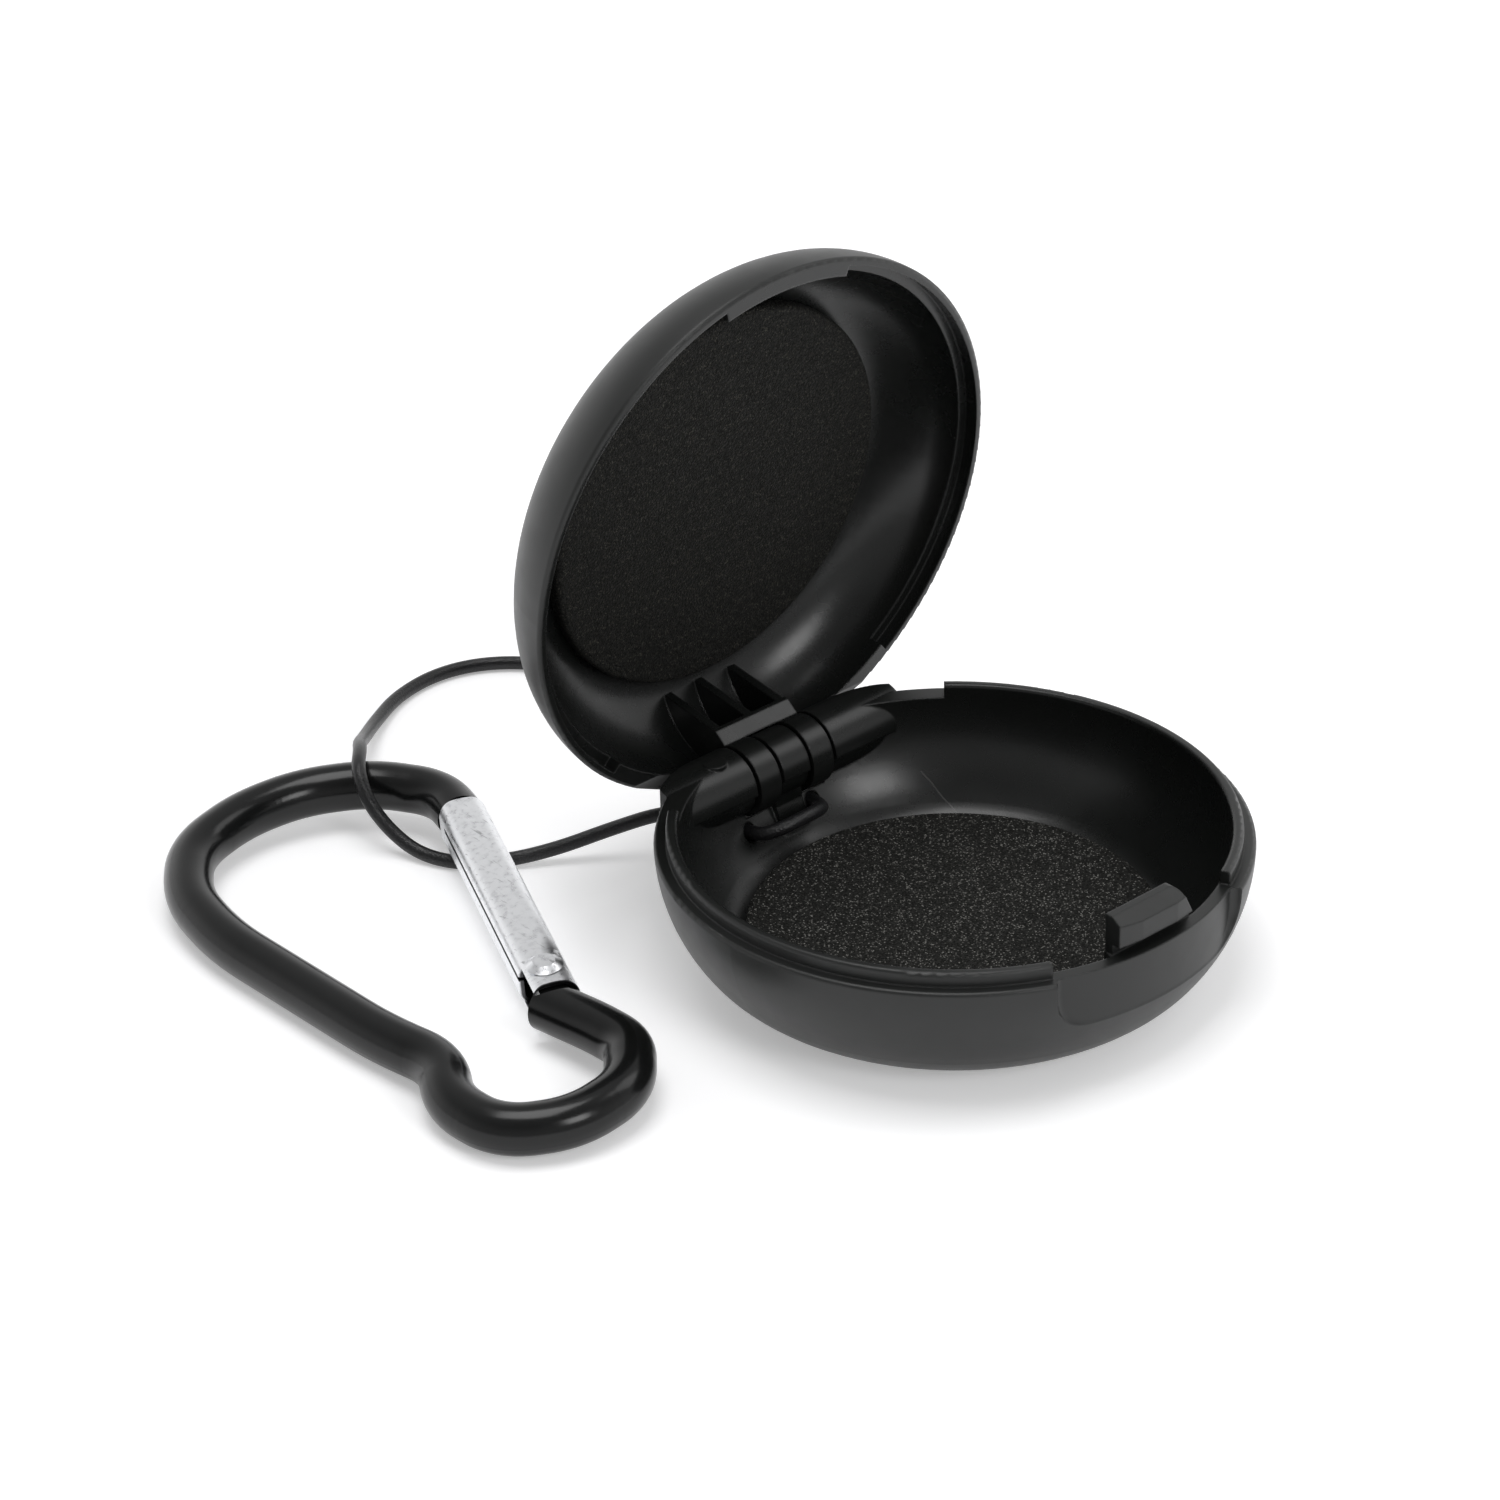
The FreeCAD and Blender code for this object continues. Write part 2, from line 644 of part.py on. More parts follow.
RING_PATH = (
    (30.3, 48.2), (32.1, 54.5), (28.4, 61.6), (22.0, 65.8), (15.0, 66.9), (6.9, 65.0),
    (1.6, 58.2), (-0.4, 49.0), (0.0, 24.0), (1.3, 16.0), (-2.3, 10.5), (-1.9, 3.4),
    (4.0, -0.7), (11.3, -0.2), (15.7, 4.9), (15.6, 9.4), (14.6, 16.4),
)
PATH_SHARE = 0.45


def rounded_path(points):
    """Straight runs joined by tangent arcs, with the arcs' radii."""
    edges = []
    radii = []
    start = points[0]
    for before, corner, after in zip(points, points[1:], points[2:]):
        into = (corner - before).normalize()
        out = (after - corner).normalize()
        half_turn = into.getAngle(out) / 2
        cut = PATH_SHARE * min((corner - before).Length, (after - corner).Length)
        radii.append(cut / math.tan(half_turn))
        first = corner - into * cut
        last = corner + out * cut
        inward = (out - into).normalize()
        middle = corner + inward * radii[-1] * (1 / math.cos(half_turn) - 1)
        edges.append(Part.LineSegment(start, first).toShape())
        edges.append(Part.Arc(first, middle, last).toShape())
        start = last
    edges.append(Part.LineSegment(start, points[-1]).toShape())
    return Part.Wire(edges), radii


def lay_down(item, turn=None):
    """Place a carabiner piece in its own plane, then tilt the plane and rest it on the floor."""
    tilt = FreeCAD.Rotation(BACK, -size("ring_tilt"))
    base = Vector(size("spine_offset"), 0, size("wire_radius + ring_lift"))
    plane = FreeCAD.Placement(base, tilt)
    if turn is not None:
        own = FreeCAD.Placement(Vector(size("rivet_across"), size("rivet_along"), 0),
                                FreeCAD.Rotation(UP, size(turn)))
        plane = plane.multiply(own)
    item.Placement = plane


def make_ring():
    path = doc.addObject("Part::Feature", "ring_path")
    wire, radii = rounded_path([Vector(across, along, 0) for across, along in RING_PATH])
    path.Shape = wire
    print("ring bends", [round(radius, 1) for radius in radii])

    section = doc.addObject("Part::Circle", "ring_section")
    bind(section, "Radius", "wire_radius")
    heading = wire.Edges[0].tangentAt(0)
    section.Placement = FreeCAD.Placement(wire.Edges[0].valueAt(0),
                                          FreeCAD.Rotation(UP, heading))
    sweep = doc.addObject("Part::Sweep", "ring_sweep")
    sweep.Sections = [section]
    sweep.Spine = (path, [f"Edge{number + 1}" for number in range(len(wire.Edges))])
    sweep.Solid = True
    sweep.Frenet = True

    own = FreeCAD.Placement(Vector(size("rivet_across"), size("rivet_along"), 0),
                            FreeCAD.Rotation(UP, size("gate_angle")))
    heel = doc.addObject("Part::Cylinder", "heel_sweep")
    bind(heel, "Radius", "heel_sweep")
    bind(heel, "Height", "4 * wire_radius")
    heel.Placement = own.multiply(FreeCAD.Placement(
        Vector(0, 0, size("-2 * wire_radius")), FreeCAD.Rotation()))
    wire_end = doc.addObject("Part::Cut", "wire_end")
    wire_end.Base = sweep
    wire_end.Tool = heel
    thick = "(gate_height - 2 * gate_sheet - 2 * tongue_gap)"
    tongue = doc.addObject("Part::Box", "tongue")
    bind(tongue, "Length", "2 * tongue_side")
    bind(tongue, "Width", "tongue_length")
    bind(tongue, "Height", thick)
    tongue.Placement = own.multiply(FreeCAD.Placement(
        Vector(size("-tongue_side"), size("-tongue_length"), size(f"-{thick} / 2")),
        FreeCAD.Rotation()))
    tip = doc.addObject("Part::Cylinder", "tongue_tip")
    bind(tip, "Radius", "tongue_side")
    bind(tip, "Height", thick)
    tip.Placement = own.multiply(FreeCAD.Placement(
        Vector(0, 0, size(f"-{thick} / 2")), FreeCAD.Rotation()))
    solid = doc.addObject("Part::MultiFuse", "ring_solid")
    solid.Shapes = [wire_end, tongue, tip]

    hole = doc.addObject("Part::Cylinder", "rivet_hole")
    bind(hole, "Radius", "rivet_radius + press_gap")
    bind(hole, "Height", "2 * wire_radius")
    hole.Placement = own.multiply(FreeCAD.Placement(
        Vector(0, 0, size("-wire_radius")), FreeCAD.Rotation()))
    nose = doc.addObject("Part::Cylinder", "gate_sweep")
    bind(nose, "Radius", "gate_reach + gate_nose_gap")
    bind(nose, "Height", "4 * wire_radius")
    bind(nose, "Angle", "nose_sweep")
    nose.Placement = own.multiply(FreeCAD.Placement(
        Vector(0, 0, size("-2 * wire_radius")),
        FreeCAD.Rotation(UP, size("90 - nose_sweep / 2"))))
    holes = doc.addObject("Part::MultiFuse", "ring_cuts")
    holes.Shapes = [hole, nose]
    ring = doc.addObject("Part::Cut", "carabiner_frame")
    ring.Base = solid
    ring.Tool = holes
    ring.Label = "carabiner_frame"
    lay_down(ring)
    return ring


def make_gate():
    body = new_body("carabiner_gate")
    half = "gate_width / 2"
    plan = outline(body, "gate_plan", "XY_Plane", [
        (f"-{half}", "-gate_heel", "-gate_width"),
        (half, "-gate_heel"),
        (half, "gate_reach - gate_sheet", "gate_width"),
        (f"-{half}", "gate_reach - gate_sheet"),
    ], offset="-gate_height / 2")
    raised(body, "gate_bar", plan, "gate_height")
    doc.recompute()
    bar = body.Tip
    long_edges = []
    for number, edge in enumerate(bar.Shape.Edges, start=1):
        if edge.Length > size("gate_reach"):
            long_edges.append(f"Edge{number}")
    rounding = body.newObject("PartDesign::Fillet", "gate_rounding")
    rounding.Base = (bar, long_edges)
    bind(rounding, "Radius", "gate_round")
    inner_round = "gate_round - gate_sheet"
    inside = outline(body, "gate_channel", "XZ_Plane", [
        (f"-{half} + gate_round", "-gate_height / 2 + gate_sheet"),
        (f"{half} - gate_round", "-gate_height / 2 + gate_sheet", inner_round),
        (f"{half} - gate_sheet", "-gate_height / 2 + gate_round"),
        (f"{half} - gate_sheet", "gate_height / 2 - gate_round", inner_round),
        (f"{half} - gate_round", "gate_height / 2 - gate_sheet"),
        (f"-{half} + gate_round", "gate_height / 2 - gate_sheet", inner_round),
        (f"-{half} + gate_sheet", "gate_height / 2 - gate_round"),
        (f"-{half} + gate_sheet", "-gate_height / 2 + gate_round", inner_round),
    ], offset="gate_heel + gate_sheet")
    sunk(body, "gate_fold", inside, "gate_heel + gate_reach + 2 * gate_sheet", along_normal=False)
    seam = outline(body, "seam_section", "XY_Plane", [
        ("-gate_width", "-gate_heel - gate_sheet"),
        (f"-{half} + gate_sheet + running_gap", "-gate_heel - gate_sheet"),
        (f"-{half} + gate_sheet + running_gap", "gate_reach - seam_start"),
        ("-gate_width", "gate_reach - seam_start"),
    ], offset="gate_height / 2 - gate_round - seam_width")
    sunk(body, "sheet_seam", seam, "seam_width")
    opening = outline(body, "opening_section", "XY_Plane", [
        ("-gate_width", "-gate_heel - gate_sheet"),
        (f"-{half} + gate_round", "-gate_heel - gate_sheet"),
        (f"-{half} + gate_round", "heel_opening", "-gate_width"),
        ("-gate_width", "heel_opening + gate_round"),
    ], offset="-gate_height / 2 + gate_sheet")
    sunk(body, "tongue_opening", opening, "gate_height - 2 * gate_sheet")
    hole = disc(body, "gate_hole", "XY_Plane", "0", "0", "rivet_radius + running_gap",
                offset="-gate_height")
    sunk(body, "gate_bore", hole, "2 * gate_height")
    lay_down(body, "gate_angle")
    return body


def make_rivet():
    body = new_body("gate_rivet")
    face = "(gate_height / 2 + running_gap)"
    section = outline(body, "rivet_section", "XZ_Plane", [
        ("0", f"-{face} - rivet_cap"),
        ("rivet_flat", f"-{face} - rivet_cap"),
        ("rivet_head", f"-{face}"),
        ("rivet_radius", f"-{face}"),
        ("rivet_radius", face),
        ("rivet_head", face),
        ("rivet_flat", f"{face} + rivet_cap"),
        ("0", f"{face} + rivet_cap"),
    ])
    turned(body, "rivet", section)
    lay_down(body, "gate_angle")
    return body


def make_gate_spring():
    spring = doc.addObject("Part::Feature", "gate_spring")
    pitch = size("spring_length / spring_turns")
    helix = Part.makeHelix(pitch, size("spring_length"), size("spring_radius"))
    helix.Placement = FreeCAD.Placement(Vector(0, size("spring_start"), 0),
                                        FreeCAD.Rotation(RIGHT, -90))
    first = helix.Edges[0]
    section = Part.Wire(Part.makeCircle(size("spring_wire"), first.valueAt(first.FirstParameter),
                                        first.tangentAt(first.FirstParameter)))
    coil = Part.Wire(helix.Edges).makePipeShell([section], True, True)
    spring.Shape = coil
    spring.Label = "gate_spring"
    lay_down(spring, "gate_angle")
    return spring


# Cord: one loop through the two holes, round the middle knuckle's post inside the case,
# under the gate, over the ring's nose and round on the floor

CORD_ROUTE = (
    (-5.6, 26.2, 5.5), (-5.6, 30.6, 5.5), (-8.5, 34.8, 4.8), (-12.8, 37.8, 3.4),
    (-18.0, 41.2, 1.5), (-22.6, 44.0, 0.77), (-26.4, 46.9, 0.77), (-28.2, 51.2, 0.8),
    (-29.2, 54.8, 2.5), (-30.2, 57.2, 5.6), (-29.4, 59.6, 8.1), (-26.4, 63.0, 8.0),
    (-23.9, 66.6, 6.2), (-20.2, 71.0, 3.4), (-15.0, 76.0, 1.3), (-8.5, 80.0, 0.8),
    (-1.6, 80.9, 0.8), (4.4, 78.4, 0.8), (9.0, 72.6, 0.8), (12.1, 65.2, 0.8),
    (14.0, 56.4, 0.9), (13.2, 47.4, 1.8), (9.4, 39.6, 3.6), (4.8, 34.4, 5.0),
    (3.6, 30.4, 5.5), (3.6, 26.2, 5.5),
)
BIGHT_ROUTE = (
    (3.6, 26.2, 5.5), (3.6, 23.4, 5.5), (2.0, 22.0, 6.3), (-0.8, 21.5, 6.6),
    (-3.6, 21.8, 6.3), (-5.6, 23.4, 5.5), (-5.6, 26.2, 5.5),
)


def make_cord(name, route):
    cord = doc.addObject("Part::Feature", name)
    wire, radii = rounded_path([Vector(*point) for point in route])
    heading = wire.Edges[0].tangentAt(0)
    section = Part.Wire(Part.makeCircle(size("cord_radius"), wire.Edges[0].valueAt(0), heading))
    tube = wire.makePipeShell([section], True, False)
    expected = math.pi * size("cord_radius") ** 2 * wire.Length
    print(name, "length", round(wire.Length, 1), "bends", [round(r, 1) for r in radii],
          "volume against section times length", round(tube.Volume / expected, 4))
    cord.Shape = tube
    cord.Label = name
    cord.Placement = FreeCAD.Placement()
    return cord


def check_and_write(pieces):
    """Stop if any object failed, then write each sub-part to its own file."""
    doc.recompute()
    for item in doc.Objects:
        if "Invalid" in item.State or "Error" in item.State:
            raise RuntimeError(f"{item.Name} failed: {item.State}")
    os.makedirs("parts", exist_ok=True)
    for piece in pieces:
        shape = piece.Shape
        if shape.isNull() or not shape.isValid():
            raise RuntimeError(f"{piece.Label} has no valid shape")
        print(piece.Label, len(shape.Solids), round(shape.Volume, 2), shape.BoundBox)
        shape.exportStep(f"parts/{piece.Label}.step")


check_and_write([
    make_base_shell(), make_lid_shell(), make_base_pad(), make_lid_pad(), make_hinge_pin(),
    make_ring(), make_gate(), make_rivet(), make_gate_spring(),
    make_cord("cord", CORD_ROUTE), make_cord("cord_bight", BIGHT_ROUTE),
])
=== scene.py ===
import json
import math

import bpy
import bmesh
from mathutils import Matrix, Vector


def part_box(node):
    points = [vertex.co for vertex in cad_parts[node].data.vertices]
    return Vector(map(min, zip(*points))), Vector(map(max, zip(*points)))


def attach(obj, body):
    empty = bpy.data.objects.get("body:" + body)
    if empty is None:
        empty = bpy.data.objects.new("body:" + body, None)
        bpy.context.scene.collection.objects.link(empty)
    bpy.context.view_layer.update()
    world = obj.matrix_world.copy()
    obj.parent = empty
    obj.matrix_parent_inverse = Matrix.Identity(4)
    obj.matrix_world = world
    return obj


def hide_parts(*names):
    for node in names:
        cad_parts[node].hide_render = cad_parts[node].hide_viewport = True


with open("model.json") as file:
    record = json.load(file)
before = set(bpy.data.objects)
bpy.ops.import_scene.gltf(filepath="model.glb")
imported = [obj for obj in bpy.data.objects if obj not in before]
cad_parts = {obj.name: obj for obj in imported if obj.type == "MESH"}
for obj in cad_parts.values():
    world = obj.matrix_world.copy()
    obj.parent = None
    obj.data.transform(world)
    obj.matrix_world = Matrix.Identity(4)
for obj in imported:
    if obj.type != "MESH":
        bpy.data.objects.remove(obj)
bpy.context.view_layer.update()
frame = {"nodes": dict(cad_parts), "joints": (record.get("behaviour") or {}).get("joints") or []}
nodes = frame["nodes"]
joints = {joint["name"]: joint for joint in frame["joints"]}


# Moulded shells
# Both shells are injection moulded in black plastic, satin and finely grained on the outside and
# smoother inside. They come whole from the frame. This section gives them their plastic, softens
# their edges and draws the hairline that the mould left in the base.

PLASTIC_DARK = (0.0066, 0.0074, 0.0068)
PLASTIC_LIGHT = (0.0086, 0.0094, 0.0090)
CLOUD_SCALE = 90.0
CLOUD_STOPS = (0.3, 0.7)
INSIDE_GLOSS = 0.27
OUTSIDE_GLOSS = 0.40
HANDLING_SCALE = 420.0
HANDLING = 0.05
SMEAR_SCALE = 60.0
SMEAR = 0.04
GRAIN_SCALE = 5200.0
GRAIN_DEPTH = 0.000012
GRAIN_STRENGTH = 0.35
INSIDE_GRAIN = 0.25
FACING_BAND = 0.002
EDGE_SOFTNESS = 0.00030
CROWN_REACH = 0.0049
KNIT_START = Vector((0.01510, 0.02055, 0.00619))
KNIT_END = Vector((0.01584, 0.01588, 0.00273))
KNIT_FACES = Vector((-0.42, -0.52, 0.69))
KNIT_WIDTH = 0.00008
KNIT_WAVER = 0.0003
KNIT_WAVER_SCALE = 500.0
KNIT_COLOUR = (0.045, 0.045, 0.045)
BASE_HEART_HEIGHT = 0.012
LID_HEART_HEIGHT = 0.0115


def own_box(node_name, lie):
    """A node's lowest and highest corners in its own axes, which lie as a matrix says."""
    turn_back = lie.inverted()
    places = [turn_back @ vertex.co for vertex in nodes[node_name].data.vertices]
    low, high = ([pick(place[axis] for place in places) for axis in range(3)]
                 for pick in (min, max))
    return Vector(low), Vector(high)


lid_hinge = Vector(joints["lid_hinge"]["pos_m"])
lid_turn = math.radians(joints["lid_hinge"]["range_deg"][1])
lid_swing = (Matrix.Translation(lid_hinge) @ Matrix.Rotation(-lid_turn, 4, "X")
             @ Matrix.Translation(-lid_hinge))
base_heart = Vector((0, 0, BASE_HEART_HEIGHT))
lid_heart = lid_swing @ Vector((0, 0, LID_HEART_HEIGHT))
lid_crown = lid_swing @ Vector((0, 0, own_box("lid_shell", lid_swing)[1].z))


def new_material(name):
    """A material with its shader, ready for nodes."""
    material = bpy.data.materials.new(name)
    material.use_nodes = True
    tree = material.node_tree
    return material, tree, tree.nodes["Principled BSDF"]


def feed(tree, slot, value):
    """Give an input another node's output, or a fixed value."""
    if isinstance(value, bpy.types.NodeSocket):
        tree.links.new(value, slot)
    elif value is not None:
        slot.default_value = value


def add_node(tree, kind, **values):
    """A node whose inputs, named with spaces as underscores, take the given values."""
    node = tree.nodes.new(kind)
    for key, value in values.items():
        label = key.replace("_", " ")
        if label in node.inputs:
            feed(tree, node.inputs[label], value)
        else:
            setattr(node, key, value)
    return node


def maths(tree, operation, first, second=None):
    """Arithmetic on one or two outputs or numbers."""
    node = add_node(tree, "ShaderNodeMath", operation=operation)
    feed(tree, node.inputs[0], first)
    feed(tree, node.inputs[1], second)
    return node.outputs["Value"]


def vector_maths(tree, operation, first, second=None):
    """Arithmetic on one or two outputs or vectors; a measure comes out as a number."""
    node = add_node(tree, "ShaderNodeVectorMath", operation=operation)
    feed(tree, node.inputs[0], first)
    feed(tree, node.inputs[1], second)
    is_measure = operation in ("LENGTH", "DISTANCE", "DOT_PRODUCT")
    return node.outputs["Value" if is_measure else "Vector"]


def object_point(tree, scale=(1.0, 1.0, 1.0)):
    """Object coordinates, stretched by a scale along each axis."""
    place = add_node(tree, "ShaderNodeTexCoord").outputs["Object"]
    return add_node(tree, "ShaderNodeMapping", Vector=place, Scale=scale).outputs["Vector"]


def noise(tree, scale, detail, vector=None):
    """Noise of so many grains to the metre."""
    return add_node(tree, "ShaderNodeTexNoise", Vector=vector or object_point(tree),
                    Scale=scale, Detail=detail).outputs["Fac"]


def spread(tree, value, low, high, start=0.0, end=1.0):
    """A value that goes from start to end, mapped to a range from low to high."""
    return add_node(tree, "ShaderNodeMapRange", Value=value, From_Min=start, From_Max=end,
                    To_Min=low, To_Max=high).outputs["Result"]


def shades(tree, value, stops, dark, light):
    """Two colours and the places where the change between them starts and ends."""
    node = add_node(tree, "ShaderNodeValToRGB", Fac=value)
    for element, stop, colour in zip(node.color_ramp.elements, stops, (dark, light)):
        element.position = stop
        element.color = (*colour, 1)
    return node.outputs["Color"]


def mixed(tree, kind, share, below, above):
    """What is above laid over what is below by a share. The kind is Color or Vector."""
    node = add_node(tree, "ShaderNodeMix", data_type="RGBA" if kind == "Color" else "VECTOR")
    inputs = {slot.identifier: slot for slot in node.inputs}
    outputs = {slot.identifier: slot for slot in node.outputs}
    feed(tree, inputs["Factor_Float"], share)
    feed(tree, inputs["A_" + kind], below)
    feed(tree, inputs["B_" + kind], above)
    return outputs["Result_" + kind]


def bump(tree, height, depth, strength, normal=None):
    """A bump of a depth in metres."""
    return add_node(tree, "ShaderNodeBump", Height=height, Distance=depth, Strength=strength,
                    Normal=normal).outputs["Normal"]


def outside(tree, heart):
    """One where the surface faces away from the heart of its shell, nothing where it faces in."""
    place = add_node(tree, "ShaderNodeTexCoord")
    reach = vector_maths(tree, "SUBTRACT", place.outputs["Object"], heart)
    facing = vector_maths(tree, "DOT_PRODUCT", reach, place.outputs["Normal"])
    return spread(tree, facing, 0.0, 1.0, -FACING_BAND, FACING_BAND)


def knit_line(tree):
    """One on the hairline where two flows of plastic met in the mould, nothing beside it."""
    place = add_node(tree, "ShaderNodeTexCoord").outputs["Object"]
    offset = vector_maths(tree, "SUBTRACT", place, KNIT_START)
    length = (KNIT_END - KNIT_START).length
    along = (KNIT_END - KNIT_START).normalized()
    across = along.cross(KNIT_FACES).normalized()
    waver = spread(tree, noise(tree, KNIT_WAVER_SCALE, 2.0), -KNIT_WAVER, KNIT_WAVER)
    beside = maths(tree, "ADD", vector_maths(tree, "DOT_PRODUCT", offset, across), waver)
    thin = maths(tree, "LESS_THAN", maths(tree, "ABSOLUTE", beside), KNIT_WIDTH)
    reach = maths(tree, "SUBTRACT", vector_maths(tree, "DOT_PRODUCT", offset, along), length / 2)
    within = maths(tree, "LESS_THAN", maths(tree, "ABSOLUTE", reach), length / 2)
    return maths(tree, "MULTIPLY", thin, within)


def crown_lie(tree):
    """The surface's lie: soft along its edges, plain where the top of the dome is all but flat."""
    place = add_node(tree, "ShaderNodeTexCoord").outputs["Object"]
    near_top = maths(tree, "LESS_THAN", vector_maths(tree, "DISTANCE", place, lid_crown),
                     CROWN_REACH)
    soft_edge = add_node(tree, "ShaderNodeBevel", samples=4, Radius=EDGE_SOFTNESS)
    plain = add_node(tree, "ShaderNodeNewGeometry")
    return mixed(tree, "Vector", near_top, soft_edge.outputs["Normal"],
                 plain.outputs["True Normal"])


def moulded_plastic(name, heart, with_knit_line):
    """Black plastic: satin and grained outside, smoother inside, with slow changes of gloss."""
    material, tree, shader = new_material(name)
    colour = shades(tree, noise(tree, CLOUD_SCALE, 4.0), CLOUD_STOPS, PLASTIC_DARK, PLASTIC_LIGHT)
    if with_knit_line:
        colour = mixed(tree, "Color", knit_line(tree), colour, (*KNIT_COLOUR, 1))
    feed(tree, shader.inputs["Base Color"], colour)

    skin = outside(tree, heart)
    gloss = spread(tree, skin, INSIDE_GLOSS, OUTSIDE_GLOSS)
    handling = spread(tree, noise(tree, HANDLING_SCALE, 5.0), -HANDLING, HANDLING)
    smear = spread(tree, noise(tree, SMEAR_SCALE, 3.0), -SMEAR, SMEAR)
    feed(tree, shader.inputs["Roughness"],
         maths(tree, "ADD", maths(tree, "ADD", gloss, handling), smear))

    grain = maths(tree, "MULTIPLY", noise(tree, GRAIN_SCALE, 2.0),
                  spread(tree, skin, INSIDE_GRAIN, 1.0))
    feed(tree, shader.inputs["Normal"],
         bump(tree, grain, GRAIN_DEPTH, GRAIN_STRENGTH, crown_lie(tree)))
    return material


def dress(node_name, material):
    """Give a frame node its one material."""
    nodes[node_name].data.materials.clear()
    nodes[node_name].data.materials.append(material)


dress("base_shell", moulded_plastic("base_shell_plastic", base_heart, True))
dress("lid_shell", moulded_plastic("lid_shell_plastic", lid_heart, False))


# Foam pads
# Each pad is a disc die cut from black foam sheet and stuck down, one on the base's floor and one
# under the lid's dome. Its top edge is slightly soft. Its cells are painted darker in their
# hollows as painted shade, and fine painted glints stand in for light that open cells catch; the
# lid pad's are painted dimmer, as that pad gets less light.

PAD_RINGS = 34
PAD_SPOKES = 160
RIM_STEPS = 5
RIM_SHARE = 0.3
PAD_SKIRT = 0.0004
PAD_SEAT = 0.9
LID_PAD_EASE = 0.0001
# Painted shade: each foam cell is darker in its hollow than at its edge.
FOAM_HOLLOW_SHADE = (0.0040, 0.0042, 0.0036)
FOAM_WALL = (0.0200, 0.0202, 0.0186)
FOAM_SHINE = 0.12
FOAM_GLOSS = (0.5, 0.8)
CELL_SCALE = 5200.0
CELL_DEPTH = 0.00014
CELL_STOPS = (0.15, 0.8)
CRUMPLE_SCALE = 1200.0
CRUMPLE_DEPTH = 0.00022
FOAM_STRENGTH = 0.9
CLUMP_SCALE = 900.0
# Painted glints: how many, how near each cell's heart and how rare the bright ones are; then their
# colours, dimmer on the lid pad, which gets less light.
GLINT_FEW = 0.90
GLINT_MANY = 0.18
GLINT_REACH = 0.46
GLINT_RARITY = 1.9
BASE_PAINTED_GLINT = (0.280, 0.275, 0.258)
LID_PAINTED_GLINT = (0.070, 0.067, 0.056)


def open_cell_foam(name, painted_glint_colour):
    """Small dark cells with their own grey, painted shade in each hollow and some painted glints.
    """
    material, tree, shader = new_material(name)
    cells = add_node(tree, "ShaderNodeTexVoronoi", Vector=object_point(tree), Scale=CELL_SCALE)
    own_shade = add_node(tree, "ShaderNodeSeparateColor", Color=cells.outputs["Color"])
    from_heart = cells.outputs["Distance"]
    # Painted shade: darkest in each cell's hollow, lighter towards its edge.
    cells_with_hollow_shade = shades(tree, from_heart, CELL_STOPS, FOAM_HOLLOW_SHADE, FOAM_WALL)

    clumps = spread(tree, noise(tree, CLUMP_SCALE, 4.0), GLINT_FEW, GLINT_MANY)
    # Painted glints: a scattering of cells gets a bright colour near its heart, standing in for
    # caught light.
    glinting_cells = maths(tree, "GREATER_THAN", own_shade.outputs["Red"], clumps)
    near = maths(tree, "LESS_THAN", from_heart, GLINT_REACH)
    shine = maths(tree, "POWER", own_shade.outputs["Green"], GLINT_RARITY)
    painted_glint = maths(tree, "MULTIPLY", maths(tree, "MULTIPLY", glinting_cells, near), shine)
    feed(tree, shader.inputs["Base Color"],
         mixed(tree, "Color", painted_glint, cells_with_hollow_shade, (*painted_glint_colour, 1)))

    feed(tree, shader.inputs["Roughness"], spread(tree, own_shade.outputs["Blue"], *FOAM_GLOSS))
    feed(tree, shader.inputs["Specular IOR Level"], FOAM_SHINE)
    cell_bump = bump(tree, from_heart, CELL_DEPTH, FOAM_STRENGTH)
    feed(tree, shader.inputs["Normal"],
         bump(tree, noise(tree, CRUMPLE_SCALE, 5.0), CRUMPLE_DEPTH, FOAM_STRENGTH, cell_bump))
    return material


def pad_profile(radius, thick):
    """The pad's half section as (reach, height): skirt, rounded rim and the top's rings."""
    rim = thick * RIM_SHARE
    profile = [(radius * PAD_SEAT, 0.0), (radius - PAD_SKIRT, 0.0), (radius, PAD_SKIRT),
               (radius, thick - rim)]
    for step in range(1, RIM_STEPS + 1):
        angle = math.radians(90 * step / RIM_STEPS)
        profile.append((radius - rim + rim * math.cos(angle),
                        thick - rim + rim * math.sin(angle)))
    for step in range(1, PAD_RINGS):
        profile.append(((radius - rim) * (1 - step / PAD_RINGS), thick))
    return profile


def foam_pad(name, node_name, back, face, radius, body, foam):
    """A disc from the middle of its back to the middle of its face, with a rounded rim."""
    outward = (face - back).normalized()
    side = outward.orthogonal().normalized()
    across = outward.cross(side)
    mesh = bmesh.new()
    rings = []
    for reach, height in pad_profile(radius, (face - back).length):
        ring = []
        for spoke in range(PAD_SPOKES):
            angle = math.tau * spoke / PAD_SPOKES
            ring.append(mesh.verts.new(back + side * (reach * math.cos(angle))
                                       + across * (reach * math.sin(angle))
                                       + outward * height))
        rings.append(ring)
    for inner, outer in zip(rings, rings[1:]):
        for spoke in range(PAD_SPOKES):
            after = (spoke + 1) % PAD_SPOKES
            mesh.faces.new((inner[spoke], inner[after], outer[after], outer[spoke]))
    mesh.faces.new(rings[-1])
    mesh.faces.new(list(reversed(rings[0])))
    bmesh.ops.recalc_face_normals(mesh, faces=mesh.faces)
    data = bpy.data.meshes.new(name)
    mesh.to_mesh(data)
    mesh.free()
    for polygon in data.polygons:
        polygon.use_smooth = True
    data.materials.append(foam)
    pad = bpy.data.objects.new(name, data)
    bpy.context.collection.objects.link(pad)
    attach(pad, body)
    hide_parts(node_name)


